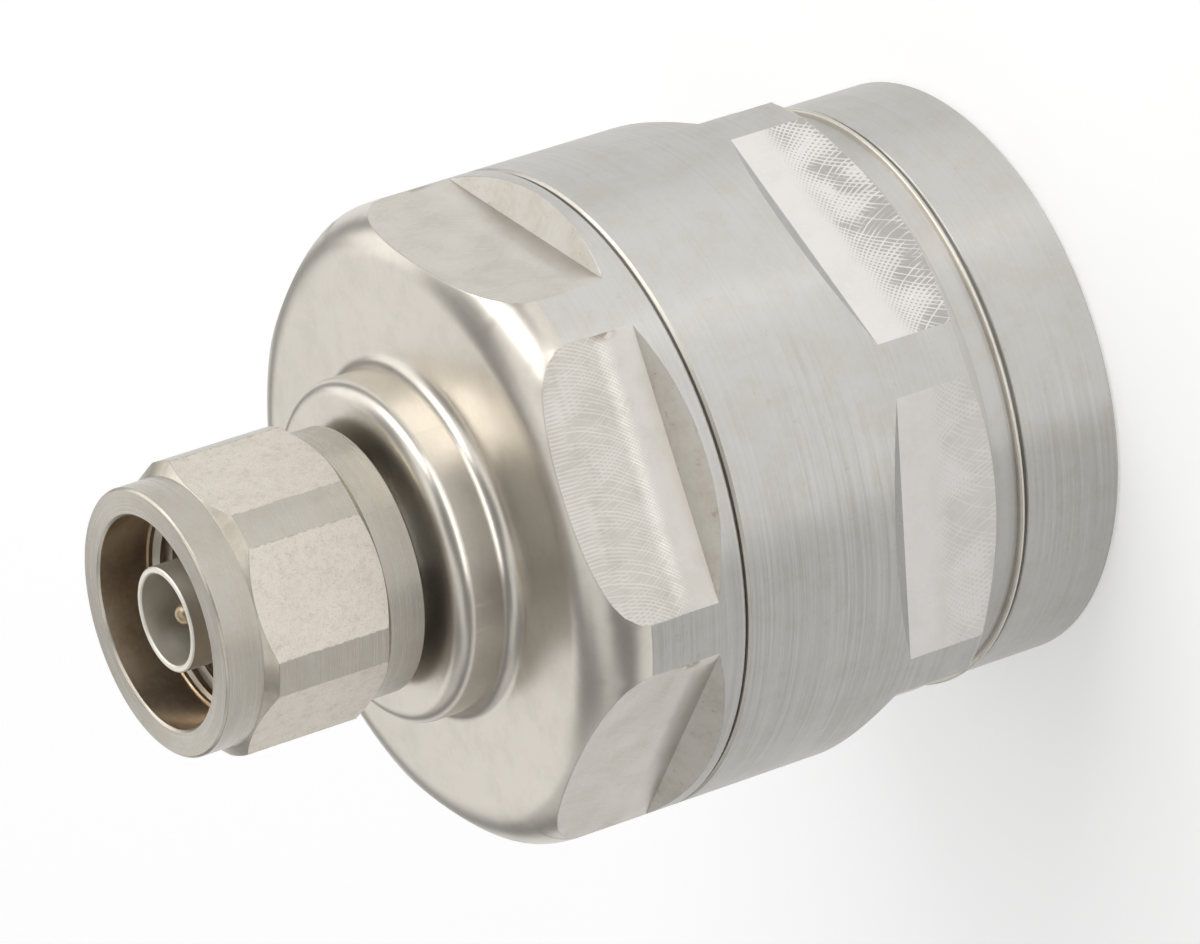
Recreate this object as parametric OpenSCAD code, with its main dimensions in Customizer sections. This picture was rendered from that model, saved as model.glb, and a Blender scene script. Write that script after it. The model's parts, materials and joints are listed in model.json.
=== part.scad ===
// N-type cable plug for a 1-1/4 inch corrugated coaxial feeder.
// The cable enters at z = 0 and the plug faces +Z. Everything is turned about the Z axis.

/* [Feeder cable] */
// Diameter over the crests of the cable's corrugated outer conductor
outer_conductor_d = 35.8; // [28:0.1:43]
// Thickness of the cable jacket over those crests
jacket_wall = 1.8; // [1.5:0.1:3]
// Diameter of the cable's tubular inner conductor
inner_conductor_d = 13.1; // [10.5:0.1:13.8]
// Wall of that tube
inner_tube_wall = 0.6; // [0.4:0.05:1.2]

/* [Rear nut] */
// Length of the rear nut
rear_nut_l = 34.85; // [34:0.05:42]
// Length of the round collar at the cable end
collar_l = 8.5; // [6:0.1:9.5]
// Wall of the collar outside the seal groove
collar_wall = 1.1; // [0.8:0.1:3]
// Radial clearance between the jacket and the entry bore
entry_clearance = 0.4; // [0.2:0.05:0.8]
// Length of the entry bore
entry_l = 4.6; // [3:0.1:5]
// Chamfer at the mouth of the entry bore
entry_chamfer = 0.5; // [0.2:0.1:0.8]
// Length of the seal groove
seal_groove_l = 5.4; // [4:0.1:6]
// Depth of the seal groove below the entry bore
seal_groove_depth = 1.3; // [1.2:0.1:2]
// Thickness of the web that stops the jacket
web_l = 2.0; // [1.5:0.1:2.4]
// Radial clearance between the web and the outer conductor
web_clearance = 0.5; // [0.3:0.1:1]
// Width of the relief between the collar and the bead ring
relief_w = 0.3; // [0.2:0.05:0.5]
// Depth of that relief
relief_depth = 0.5; // [0.3:0.1:0.7]
// Section radius of the bead ring
bead_r = 0.3; // [0.2:0.05:0.5]
// Height of the bead ring above the wrench flats
bead_rise = 0.45; // [0.3:0.05:0.8]
// Height where the lands between the rear flats begin to taper
land_edge_z = 13.1; // [12:0.1:15]
// Slope of that taper, from the cross plane
land_taper = 38; // [25:1:50]
// Height of the foot of the rear wrench flats
rear_flat_foot = 19.6; // [18:0.1:22]

/* [Jacket seal] */
// Wall of the rubber sleeve between its ribs
seal_wall = 1.2; // [0.9:0.05:1.25]
// Number of ribs that close on the jacket
seal_ribs = 3; // [2:1:4]
// Section radius of the ribs
seal_rib_r = 0.6; // [0.3:0.05:0.6]

/* [Wrench flats] */
// Depth of the wrench flats below the round body
flat_depth = 2.35; // [1.5:0.05:3.5]
// Step from the collar down to the flats, and from the flats down to the land's neck
flat_relief = 0.1; // [0.05:0.05:0.3]
// Lean of the wall at the foot of each flat
wall_lean = 30; // [0:1:45]
// Angle from the rear nut's flats to the front body's, when tight
front_body_turn = 26.2; // [0:0.1:60]
// Angle from the rear nut's flats to the coupling nut's
coupling_nut_turn = 20.7; // [0:0.1:60]

/* [Clamp] */
// Length of the clamp collet
collet_l = 8.0; // [6.5:0.1:10]
// Length of its unslotted foot
collet_foot_l = 2.4; // [2:0.1:3]
// Radial thickness of the collet over the outer conductor
collet_wall = 2.7; // [2:0.1:3]
// Radial relief of the fingers in front of the foot
finger_relief = 0.4; // [0.2:0.05:0.6]
// Reach of the collet lip into the corrugation
lip_reach = 0.95; // [0.5:0.05:1.5]
// Length of that lip
lip_l = 1.0; // [0.6:0.1:1.5]
// Number of collet fingers
collet_fingers = 12; // [6:1:18]
// Width of the slots between the fingers
collet_slot = 0.8; // [0.5:0.1:1.5]
// Thickness of the slip washer behind the collet
slip_washer_l = 0.6; // [0.4:0.1:1]
// Thickness of the wire ring that keeps the collet in the nut
collet_ring_l = 0.9; // [0.6:0.1:1.2]
// Radial width of that ring
collet_ring_w = 1.5; // [1:0.1:1.8]
// Depth of its groove in the nut
ring_groove_depth = 0.65; // [0.4:0.05:0.8]
// Opening of the ring
collet_ring_gap = 3; // [1:0.5:6]
// Distance from that ring to the tail of the front body
tail_gap = 0.7; // [0.4:0.1:1]
// Radial wall of the flare ring outside the outer conductor
flare_wall = 1.1; // [0.8:0.1:2]
// Reach of the flare ring's nose inside the outer conductor
flare_nose = 1.6; // [1:0.1:2]
// Length of the flare ring's cylindrical lead
flare_lead = 3.0; // [2.8:0.1:4]

/* [Body thread and pilot] */
// Pitch of the thread that joins the two bodies
body_pitch = 1.5; // [1:0.25:2]
// Wall of the front body's tail under its thread
tail_wall = 1.95; // [1.5:0.05:3]
// Length of the plain pilot bore in the rear nut
pilot_l = 3.85; // [3.6:0.05:5]
// Step from the thread's root out to the pilot bore
pilot_step = 0.7; // [0.5:0.1:1.2]
// Chamfer at the mouth of the pilot bore
pilot_chamfer = 0.3; // [0.2:0.1:0.5]
// Gap between the two bodies when tight
seam_gap = 0.2; // [0.1:0.05:0.8]
// Section diameter of the O-ring in the pilot
body_seal_section = 1.24; // [1:0.02:1.4]
// Side play of that O-ring in its groove
seal_side_play = 0.5; // [0.3:0.1:0.8]

/* [Front body] */
// Length of the barrel, from the seam to the front face
barrel_l = 12.5; // [11:0.1:18]
// Rounding of the barrel's front edge
barrel_round = 4.25; // [2:0.05:6]
// Distance from the seam to the foot of the front flats
front_flat_foot = 2.45; // [1.5:0.05:4]
// Diameter of the hub in front of the barrel
hub_d = 26.4; // [22:0.1:32]
// Length of the hub
hub_l = 4.7; // [3:0.1:8]
// Rounding of the hub's front edge
hub_round = 1.3; // [0.3:0.05:2]
// Fillet at the foot of the hub
hub_fillet = 1.2; // [0.3:0.05:2]
// Diameter of the neck that carries the coupling nut
neck_d = 13.9; // [13:0.1:14.4]
// Length of the neck
neck_l = 7.0; // [6.6:0.1:9]

/* [Line] */
// Impedance of the line in ohms
impedance = 50; // [45:1:53]
// Diameter of the middle step of the inner conductor
mid_conductor_d = 7.0; // [5:0.1:8]
// Distance from the seam back to the rear insulator
insulator_setback = 1.05; // [0.5:0.05:2]
// Length of the rear insulator
rear_insulator_l = 4.0; // [3:0.1:5]
// Depth of its seat below the bore
insulator_seat = 1.4; // [1:0.1:1.8]
// Depth of the groove that it clips into on the inner conductor
insulator_clip = 0.9; // [0.5:0.1:1.2]
// Number of holes through it
insulator_holes = 6; // [4:1:8]
// Diameter of those holes
insulator_hole_d = 4.2; // [3:0.1:4.6]
// Length of the ring that retains it
retainer_l = 2.5; // [1.5:0.1:3]
// Length of the inner conductor behind that insulator
conductor_foot_l = 1.5; // [1:0.1:2.5]
// Distance from the seam to the first step of the line
line_step_l = 2.45; // [1.5:0.05:3.5]
// Distance from the barrel's face back to the second step of the bore
bore_step_l = 3.05; // [2:0.05:4]
// Distance from there back to the second step of the inner conductor
step_stagger = 2.5; // [1:0.1:3]
// Length of the front insulator
front_insulator_l = 4.0; // [3.5:0.1:4.5]
// Section diameter of its O-ring
insulator_seal_section = 0.7; // [0.5:0.05:0.9]

/* [Inner contact] */
// Length of the slotted fingers that enter the inner conductor
basket_l = 10.0; // [7:0.1:12]
// Wall of those fingers
basket_wall = 1.0; // [0.7:0.1:1.5]
// Number of slots in them
basket_slots = 6; // [3:1:8]
// Width of the slots
basket_slot = 0.6; // [0.4:0.1:1]
// Thickness of the basket's flange
basket_flange_l = 2.0; // [1.5:0.1:3]
// Diameter of the spigot that joins the basket to the inner conductor
spigot_d = 6.0; // [4:0.1:8]
// Length of that spigot
spigot_l = 4.8; // [3:0.1:5.5]
// Length of the plastic nose in front of the fingers
guide_l = 3.4; // [2:0.1:5]

/* [Plug face] */
// Diameter of the pin's body
pin_d = 3.04; // [3.04:0.01:3.1]
// Diameter of the pin's tip
pin_tip_d = 1.6; // [1.56:0.02:1.7]
// Rounding of the pin's nose
pin_nose_r = 0.75; // [0.3:0.05:0.75]
// Length of the taper from the body to the tip
pin_taper_l = 0.7; // [0.4:0.1:1]
// Distance from the outer contact's rim back to the pin's shoulder
pin_shoulder_depth = 5.26; // [5.2:0.02:5.4]
// Distance from the rim back to the pin's nose
pin_tip_depth = 0.95; // [0.6:0.05:1.5]
// Outer diameter of the outer contact
contact_d = 8.02; // [8.0:0.01:8.1]
// Bore of the outer contact
contact_bore = 7.0; // [6.9:0.01:7.05]
// Length of the outer contact in front of the neck
contact_reach = 10.1; // [9.4:0.1:10.8]
// Length of the outer contact's foot inside the neck
contact_foot_l = 5.25; // [4.5:0.05:6]
// Wall of the neck around that foot
neck_wall = 1.7; // [1.4:0.1:1.9]
// Step from the foot down to the front insulator's seat
bead_step = 0.6; // [0.4:0.1:0.9]
// Height of the collar that seats the gasket on the outer contact
contact_collar = 0.6; // [0.3:0.1:0.9]
// Thickness of the interface gasket
gasket_l = 1.2; // [0.8:0.1:1.6]

/* [Coupling nut] */
// Distance across the coupling nut's flats
nut_flats = 20.64; // [20:0.02:22]
// Diameter over its corners
nut_corner_d = 22.36; // [21.4:0.02:23.8]
// Diameter of its round ends
nut_round_d = 20.46; // [19:0.02:21]
// Length of the coupling nut
nut_l = 16.9; // [16:0.1:20]
// Distance it can slide back towards the hub
nut_play = 1.0; // [0.5:0.05:2]
// Gap left behind it at the end of that slide
nut_stop_gap = 0.1; // [0.05:0.05:0.3]
// Length of its round flange at the rear
nut_flange_l = 3.05; // [2.5:0.05:4]
// Length of its round nose at the front
nut_nose_l = 3.1; // [2:0.05:5]
// Slope of the corner chamfers, from the cross plane
nut_chamfer = 38; // [25:1:45]
// Root diameter of the coupling thread
nut_thread_d = 15.88; // [15.88:0.01:16]
// Diameter of the plain mouth in front of the thread
nut_mouth_d = 16.2; // [16:0.05:17]
// Depth of that mouth
nut_mouth_l = 4.2; // [3:0.1:5]
// Distance from the gasket to the thread
nut_thread_lead = 0.15; // [0.1:0.05:0.5]
// Length of the lip that bears on the snap ring
nut_lip_l = 2.5; // [1.5:0.1:3]
// Thickness of the coupling snap ring
snap_ring_l = 1.0; // [0.8:0.1:1.2]
// Depth of that ring's groove in the neck
snap_groove_depth = 0.75; // [0.5:0.05:0.9]
// Height of that ring above the neck
snap_ring_rise = 0.8; // [0.5:0.05:1]
// Opening of that ring
snap_ring_gap = 2; // [1:0.5:4]

/* [Fits] */
// Radial clearance of a running fit
run_fit = 0.05; // [0.02:0.01:0.1]
// Radial clearance of a pressed or seated piece
seat_fit = 0.02; // [0.01:0.01:0.05]
// Free gap between pieces that move past each other
free_gap = 0.3; // [0.2:0.05:0.5]
// Small edge break
edge = 0.2; // [0.1:0.05:0.25]

/* [Hidden] */
$fn = 96;

// How far a cutter runs past the face it opens
past = 1;

PLATED = [0.72, 0.71, 0.68];
PLATED_NUT = [0.73, 0.70, 0.64];
SILVERED = [0.80, 0.79, 0.76];
BRONZE = [0.78, 0.66, 0.36];
GOLD = [0.86, 0.70, 0.34];
STEEL = [0.62, 0.62, 0.63];
PLASTIC = [0.93, 0.93, 0.90];
BLACK_RUBBER = [0.12, 0.12, 0.12];
RED_RUBBER = [0.45, 0.20, 0.12];

// Radii, outwards from the cable
oc_r = outer_conductor_d / 2;
jacket_r = oc_r + jacket_wall;
entry_r = jacket_r + entry_clearance;
seal_groove_r = entry_r + seal_groove_depth;
collar_r = seal_groove_r + collar_wall;
flat_r = collar_r - flat_relief;
body_r = flat_r + flat_depth;
land_neck_r = flat_r - flat_relief;
bead_outer_r = flat_r + bead_rise;
web_r = oc_r + web_clearance;
chamber_r = oc_r + collet_wall + run_fit;
flare_r = oc_r + flare_wall;
tail_r = flare_r + seat_fit + tail_wall;
// The thread is cut 0.6 of its pitch deep
thread_root_r = tail_r + 0.6 * body_pitch + run_fit;
pilot_r = thread_root_r + pilot_step;
pilot_plug_r = pilot_r - run_fit;

// The coaxial line: bores follow the conductors by the impedance formula for air
line_ratio = exp(impedance / 59.96);
ic_r = inner_conductor_d / 2;
line_r = ic_r * line_ratio;
mid_r = mid_conductor_d / 2;
mid_bore_r = mid_r * line_ratio;
pin_r = pin_d / 2;
insulator_r = line_r + insulator_seat;
clip_r = ic_r - insulator_clip;
finger_r = ic_r - inner_tube_wall - run_fit;
neck_r = neck_d / 2;
contact_r = contact_d / 2;
contact_bore_r = contact_bore / 2;
contact_collar_r = contact_r + contact_collar;
contact_foot_r = neck_r - neck_wall;
bead_seat_r = contact_foot_r - bead_step;
pin_clip = 0.1;
// Threaded tail that joins the pin to the inner conductor
pin_tail_r = 1;
pin_tail_l = 4;

// Heights, upwards from the cable end
bead_z = collar_l + relief_w + bead_r;
web_z = entry_l + seal_groove_l;
washer_z = web_z + web_l;
collet_z = washer_z + slip_washer_l;
collet_top_z = collet_z + collet_l;
collet_ring_z = collet_top_z + edge;
tail_z = collet_ring_z + collet_ring_l + tail_gap;
thread_z = tail_z - edge;
pilot_z = rear_nut_l - pilot_l;
front_z = rear_nut_l + seam_gap;
face_z = front_z + barrel_l;
hub_z = face_z + hub_l;
neck_z = hub_z + neck_l;
// The O-ring's groove sits just in front of the pilot's middle
body_seal_z = (pilot_z + free_gap + front_z) / 2 + edge / 4;
insulator_top_z = front_z - insulator_setback;
insulator_z = insulator_top_z - rear_insulator_l;
retainer_z = insulator_z - retainer_l;
conductor_foot_z = insulator_z - conductor_foot_l;
basket_flange_z = conductor_foot_z - basket_flange_l;
finger_z = basket_flange_z - basket_l;
step_z = front_z + line_step_l;
mid_step_z = face_z - bore_step_l;
pin_z = mid_step_z - step_stagger;
contact_foot_z = neck_z - contact_foot_l;
bead_seat_z = contact_foot_z - front_insulator_l;
rim_z = neck_z + contact_reach;
gasket_top_z = neck_z + gasket_l;
nut_z = hub_z + nut_play + nut_stop_gap;
nut_top_z = nut_z + nut_l;
lip_z = nut_z + nut_lip_l;
snap_z = lip_z + run_fit;
snap_top_z = snap_z + snap_ring_l;
nut_r = nut_round_d / 2;
nut_corner_r = nut_corner_d / 2;

// A disc from z0 to z1, used to bore as well as to build
module disc(r, z0, z1) {
    translate([0, 0, z0]) cylinder(r = r, h = z1 - z0);
}

// A plain ring
module ring(r_out, r_in, z0, z1) {
    difference() {
        disc(r_out, z0, z1);
        disc(r_in, z0 - past, z1 + past);
    }
}

// A cutter for a groove of floor radius r, open outwards
module groove(r, r_open, z0, z1) {
    difference() {
        disc(r_open + past, z0, z1);
        disc(r, z0 - past, z1 + past);
    }
}

// A piece turned from a half-section
module turned() {
    rotate_extrude() children();
}

// Half-section of a plain length, with 45 degree edges of size low and high
module length_section(r, z0, z1, low = 0, high = 0) {
    polygon([[0, z0], [r - low, z0], [r, z0 + low], [r, z1 - high], [r - high, z1], [0, z1]]);
}

// Six wrench flats: each cutter lies outside flat_radius, from its leaning wall to z_end
module six_flats(flat_radius, foot_z, z_end, lean) {
    reach = body_r;
    wall_shift = reach * tan(lean) * sign(foot_z - z_end);
    for (i = [0 : 5]) rotate(60 * i) rotate([90, 0, 0])
        linear_extrude(height = 2 * reach, center = true)
            polygon([[flat_radius, foot_z], [flat_radius + reach, foot_z + wall_shift],
                     [flat_radius + reach, z_end], [flat_radius, z_end]]);
}

// Radial slots through a ring, from z0 to z1
module radial_slots(count, width, reach, z0, z1) {
    for (i = [0 : count - 1]) rotate(i * 360 / count)
        translate([0, -width / 2, z0]) cube([reach, width, z1 - z0]);
}

// An open ring of square wire with its gap on +X
module split_ring(r_out, r_in, z0, z1, gap) {
    difference() {
        ring(r_out, r_in, z0, z1);
        translate([0, -gap / 2, z0 - past]) cube([2 * r_out, gap, z1 - z0 + 2 * past]);
    }
}

module rear_nut_section() {
    land_foot_z = land_edge_z - (body_r - land_neck_r) * tan(land_taper);
    length_section(collar_r, 0, collar_l, 2 * edge, edge / 2);
    length_section(collar_r - relief_depth, collar_l - edge, bead_z);
    translate([bead_outer_r - bead_r, bead_z]) circle(bead_r);
    translate([0, bead_z - bead_r]) square([bead_outer_r - bead_r, 2 * bead_r]);
    polygon([[0, bead_z], [land_neck_r, bead_z], [land_neck_r, land_foot_z], [body_r, land_edge_z],
             [body_r, rear_nut_l - edge], [body_r - edge, rear_nut_l], [0, rear_nut_l]]);
}

module rear_nut() {
    color(PLATED) difference() {
        turned() rear_nut_section();
        six_flats(flat_r, rear_flat_foot, bead_z + bead_r, wall_lean);
        // Cable entry with its seal groove and web
        turned() polygon([[0, -past], [entry_r + entry_chamfer + past, -past], [entry_r + entry_chamfer, 0],
                          [entry_r, entry_chamfer], [0, entry_chamfer]]);
        disc(entry_r, 0, web_z);
        disc(seal_groove_r, entry_l, web_z);
        disc(web_r, web_z - past, washer_z + past);
        // Collet chamber with its ring groove
        disc(chamber_r, washer_z, thread_z);
        disc(chamber_r + ring_groove_depth, collet_ring_z - run_fit, collet_ring_z + collet_ring_l + run_fit);
        // Body thread and pilot
        disc(thread_root_r, thread_z, pilot_z + past);
        disc(pilot_r, pilot_z, rear_nut_l + past);
        turned() polygon([[0, rear_nut_l - pilot_chamfer], [pilot_r, rear_nut_l - pilot_chamfer],
                          [pilot_r + pilot_chamfer + past, rear_nut_l + past], [0, rear_nut_l + past]]);
    }
}

// Rubber sleeve with ribs that close on the jacket
module jacket_seal() {
    seal_l = seal_groove_l - edge;
    inner_r = seal_groove_r - seat_fit - seal_wall;
    color(BLACK_RUBBER) translate([0, 0, entry_l + edge / 2]) turned() {
        translate([inner_r, 0]) square([seal_wall, seal_l]);
        for (i = [0 : seal_ribs - 1]) translate([inner_r, seal_l * (i + 0.5) / seal_ribs]) circle(seal_rib_r);
    }
}

module slip_washer() {
    color(PLASTIC) ring(chamber_r - 3 * run_fit, web_r + edge, washer_z, collet_z);
}

module clamp_collet() {
    root_z = collet_z + collet_foot_l;
    outer_r = chamber_r - run_fit;
    relief_slope_l = 2 * finger_relief;
    throat_r = oc_r + free_gap;
    lip_r = oc_r - lip_reach;
    cone_r = flare_r - 2 * edge;
    lip_top_z = collet_top_z - (cone_r - lip_r);
    lip_foot_z = lip_top_z - lip_l;
    color(BRONZE) difference() {
        turned() polygon([
            [throat_r, collet_z], [outer_r, collet_z], [outer_r, root_z],
            [outer_r - finger_relief, root_z + relief_slope_l], [outer_r - finger_relief, collet_top_z],
            [cone_r, collet_top_z], [lip_r, lip_top_z],
            [lip_r, lip_foot_z], [throat_r, lip_foot_z - (throat_r - lip_r)]]);
        radial_slots(collet_fingers, collet_slot, chamber_r + past, root_z, collet_top_z + past);
    }
}

module collet_retaining_ring() {
    outer_r = chamber_r + ring_groove_depth - run_fit;
    top_z = collet_ring_z + collet_ring_l;
    color(STEEL) split_ring(outer_r, outer_r - collet_ring_w, collet_ring_z, top_z, collet_ring_gap);
}

// Ring whose nose spreads the end of the outer conductor against the collet
module flare_ring() {
    nose_r = oc_r - flare_nose;
    shoulder_r = flare_r - 3 * run_fit;
    // Its cone stands off the collet's by the thickness of the flared conductor
    flared_wall = 0.5;
    nose_z = collet_top_z - (flare_r - 2 * edge - nose_r) + flared_wall;
    color(SILVERED) turned() polygon([
        [line_r, nose_z], [nose_r, nose_z], [shoulder_r, nose_z + shoulder_r - nose_r],
        [flare_r, nose_z + flare_lead], [flare_r, retainer_z], [line_r, retainer_z]]);
}

module front_body_section() {
    // Tail with its thread root and pilot
    length_section(tail_r, tail_z, front_z, 2 * edge);
    length_section(pilot_plug_r, pilot_z + free_gap, front_z, edge);
    // Barrel with its rounded front edge
    length_section(body_r, front_z, face_z - barrel_round, 2 * edge);
    translate([0, front_z]) square([body_r - barrel_round, barrel_l]);
    translate([body_r - barrel_round, face_z - barrel_round]) circle(barrel_round);
    // Hub with a filleted foot
    translate([0, face_z]) square([hub_d / 2, hub_l - hub_round]);
    translate([0, face_z]) square([hub_d / 2 - hub_round, hub_l]);
    translate([hub_d / 2 - hub_round, hub_z - hub_round]) circle(hub_round);
    difference() {
        translate([hub_d / 2 - edge, face_z - edge]) square(hub_fillet + edge);
        translate([hub_d / 2 + hub_fillet, face_z + hub_fillet]) circle(hub_fillet);
    }
    // Neck
    length_section(neck_r, hub_z - past, neck_z, 0, edge);
}

module front_body() {
    seal_w = body_seal_section + seal_side_play;
    color(PLATED) rotate(front_body_turn) difference() {
        turned() front_body_section();
        six_flats(flat_r, front_z + front_flat_foot, face_z + past, wall_lean);
        // Grooves for the O-ring in the pilot and the snap ring in the neck
        groove(pilot_plug_r - body_seal_section, body_r, body_seal_z - seal_w / 2, body_seal_z + seal_w / 2);
        groove(neck_r - snap_groove_depth, neck_r, snap_z - run_fit, snap_top_z + run_fit);
        // Stepped bore of the line, with the seats of both insulators and the outer contact
        disc(flare_r + seat_fit, tail_z - past, retainer_z);
        disc(insulator_r + seat_fit, retainer_z - past, insulator_top_z);
        disc(line_r, retainer_z, step_z);
        disc(mid_bore_r, step_z - past, mid_step_z);
        disc(contact_bore_r, mid_step_z - past, contact_foot_z);
        disc(bead_seat_r + seat_fit, bead_seat_z, contact_foot_z + past);
        disc(contact_foot_r + seat_fit, contact_foot_z, neck_z + past);
    }
}

module body_o_ring() {
    color(BLACK_RUBBER) turned() translate([pilot_plug_r - body_seal_section / 2, body_seal_z])
        circle(body_seal_section / 2 - seat_fit);
}

module rear_insulator() {
    color(PLASTIC) difference() {
        ring(insulator_r, clip_r, insulator_z, insulator_top_z);
        for (i = [0 : insulator_holes - 1]) rotate((i + 0.5) * 360 / insulator_holes)
            translate([(ic_r + line_r) / 2, 0, insulator_z - past])
                cylinder(d = insulator_hole_d, h = rear_insulator_l + 2 * past);
    }
}

module insulator_retainer() {
    color(SILVERED) ring(insulator_r, line_r, retainer_z, insulator_z);
}

module centre_conductor() {
    color(SILVERED) difference() {
        union() {
            disc(ic_r, conductor_foot_z, step_z);
            disc(mid_r, step_z - past, pin_z);
        }
        groove(clip_r - seat_fit, ic_r, insulator_z, insulator_top_z);
        // Sockets for the basket's spigot and the pin's tail
        disc(spigot_d / 2 + seat_fit, conductor_foot_z - past, conductor_foot_z + spigot_l + edge);
        disc(pin_tail_r + seat_fit, pin_z - pin_tail_l - edge, pin_z + past);
    }
}

// Slotted fingers that spring open inside the tubular inner conductor
module contact_basket() {
    finger_edge = 3 * edge;
    floor_l = 1;
    slot_root = 1.5;
    color(BRONZE) difference() {
        union() {
            turned() length_section(finger_r, finger_z, basket_flange_z + past, finger_edge);
            disc(ic_r, basket_flange_z, conductor_foot_z);
            disc(spigot_d / 2, conductor_foot_z - past, conductor_foot_z + spigot_l);
        }
        disc(finger_r - basket_wall, finger_z - past, basket_flange_z - floor_l);
        radial_slots(basket_slots, basket_slot, finger_r + past,
                     finger_z - past, basket_flange_z - slot_root);
    }
}

// Plastic nose that guides the basket into the tube
module basket_guide() {
    rim_r = finger_r - free_gap;
    rim_l = 3 * edge;
    nose_r = 2.4;
    stem_r = finger_r - basket_wall - seat_fit;
    stem_l = basket_l / 2;
    color(PLASTIC) turned() polygon([
        [0, finger_z - guide_l], [nose_r, finger_z - guide_l], [rim_r, finger_z - rim_l], [rim_r, finger_z],
        [stem_r, finger_z], [stem_r, finger_z + stem_l], [0, finger_z + stem_l]]);
}

module front_insulator() {
    groove_w = insulator_seal_section + free_gap;
    groove_z = (bead_seat_z + contact_foot_z - groove_w) / 2;
    color(PLASTIC) difference() {
        ring(bead_seat_r, pin_r - pin_clip, bead_seat_z, contact_foot_z);
        groove(bead_seat_r - insulator_seal_section - seat_fit, bead_seat_r, groove_z, groove_z + groove_w);
    }
}

module insulator_o_ring() {
    section_r = insulator_seal_section / 2;
    color(BLACK_RUBBER) turned()
        translate([bead_seat_r - section_r, (bead_seat_z + contact_foot_z) / 2]) circle(section_r);
}

module centre_pin() {
    shoulder_z = rim_z - pin_shoulder_depth;
    tip_z = rim_z - pin_tip_depth;
    tip_r = pin_tip_d / 2;
    nose_z = tip_z - pin_nose_r;
    color(GOLD) difference() {
        turned() {
            translate([0, pin_z - pin_tail_l]) square([pin_tail_r, pin_tail_l + past]);
            polygon([[0, pin_z], [pin_r, pin_z], [pin_r, shoulder_z - pin_taper_l], [tip_r, shoulder_z],
                     [tip_r, nose_z], [0, nose_z]]);
            translate([0, nose_z - edge]) square([tip_r - pin_nose_r, pin_nose_r + edge]);
            intersection() {
                translate([tip_r - pin_nose_r, nose_z]) circle(pin_nose_r);
                translate([0, nose_z - edge]) square([tip_r, pin_nose_r + edge]);
            }
        }
        groove(pin_r - pin_clip - seat_fit, pin_r, bead_seat_z, contact_foot_z);
    }
}

module outer_contact() {
    rim_edge = edge / 2;
    color(SILVERED) turned() polygon([
        [contact_bore_r, contact_foot_z], [contact_foot_r, contact_foot_z], [contact_foot_r, neck_z],
        [contact_collar_r, neck_z], [contact_collar_r, gasket_top_z], [contact_r, gasket_top_z],
        [contact_r, rim_z - rim_edge], [contact_r - rim_edge, rim_z],
        [contact_bore_r + rim_edge, rim_z], [contact_bore_r, rim_z - rim_edge]]);
}

module interface_gasket() {
    color(RED_RUBBER) ring(neck_r - edge, contact_collar_r + seat_fit, neck_z, gasket_top_z);
}

module coupling_snap_ring() {
    inner_r = neck_r - snap_groove_depth + run_fit;
    color(BRONZE) split_ring(neck_r + snap_ring_rise, inner_r, snap_z, snap_top_z, snap_ring_gap);
}

module coupling_nut_section() {
    hex_low_z = nut_z + nut_flange_l;
    hex_top_z = nut_top_z - nut_nose_l;
    rise = (nut_corner_r - nut_r) * tan(nut_chamfer);
    polygon([[0, nut_z], [nut_r - edge, nut_z], [nut_r, nut_z + edge], [nut_r, hex_low_z],
             [nut_corner_r, hex_low_z + rise], [nut_corner_r, hex_top_z - rise], [nut_r, hex_top_z],
             [nut_r, nut_top_z - edge], [nut_r - edge, nut_top_z], [0, nut_top_z]]);
}

module coupling_nut() {
    mouth_r = nut_mouth_d / 2;
    mouth_z = nut_top_z - nut_mouth_l;
    thread_low_z = gasket_top_z + nut_thread_lead;
    color(PLATED_NUT) rotate(coupling_nut_turn) difference() {
        turned() coupling_nut_section();
        six_flats(nut_flats / 2, nut_z, nut_top_z, 0);
        // Mouth, thread root, room for the snap ring, and the lip that it bears on
        disc(mouth_r, mouth_z, nut_top_z + past);
        disc(nut_thread_d / 2, thread_low_z - past, mouth_z + past);
        disc(mouth_r, lip_z, thread_low_z);
        disc(neck_r + run_fit, nut_z - past, lip_z + past);
    }
}

rear_nut();
jacket_seal();
slip_washer();
clamp_collet();
collet_retaining_ring();
flare_ring();
front_body();
body_o_ring();
rear_insulator();
insulator_retainer();
centre_conductor();
contact_basket();
basket_guide();
front_insulator();
insulator_o_ring();
centre_pin();
outer_contact();
interface_gasket();
coupling_snap_ring();
coupling_nut();
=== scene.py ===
"""N-type cable plug, standing on its cable end: the looks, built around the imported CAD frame."""
import json
import math

import bmesh
import bpy
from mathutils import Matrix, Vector


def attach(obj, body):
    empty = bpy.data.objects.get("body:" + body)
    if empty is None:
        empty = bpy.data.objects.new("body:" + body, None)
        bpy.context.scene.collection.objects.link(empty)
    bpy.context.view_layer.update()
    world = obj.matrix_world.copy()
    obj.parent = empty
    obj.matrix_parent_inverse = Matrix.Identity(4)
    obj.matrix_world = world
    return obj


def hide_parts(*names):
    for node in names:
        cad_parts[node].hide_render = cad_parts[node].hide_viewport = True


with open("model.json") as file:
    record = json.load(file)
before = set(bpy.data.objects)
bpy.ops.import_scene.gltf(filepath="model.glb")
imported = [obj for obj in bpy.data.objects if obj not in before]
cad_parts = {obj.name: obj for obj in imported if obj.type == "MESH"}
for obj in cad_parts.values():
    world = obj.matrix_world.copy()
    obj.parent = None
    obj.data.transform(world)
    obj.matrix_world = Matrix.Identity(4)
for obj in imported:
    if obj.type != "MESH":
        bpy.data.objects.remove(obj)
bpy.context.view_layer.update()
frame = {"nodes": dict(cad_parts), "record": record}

MM = 0.001
TAU = 2 * math.pi

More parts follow.
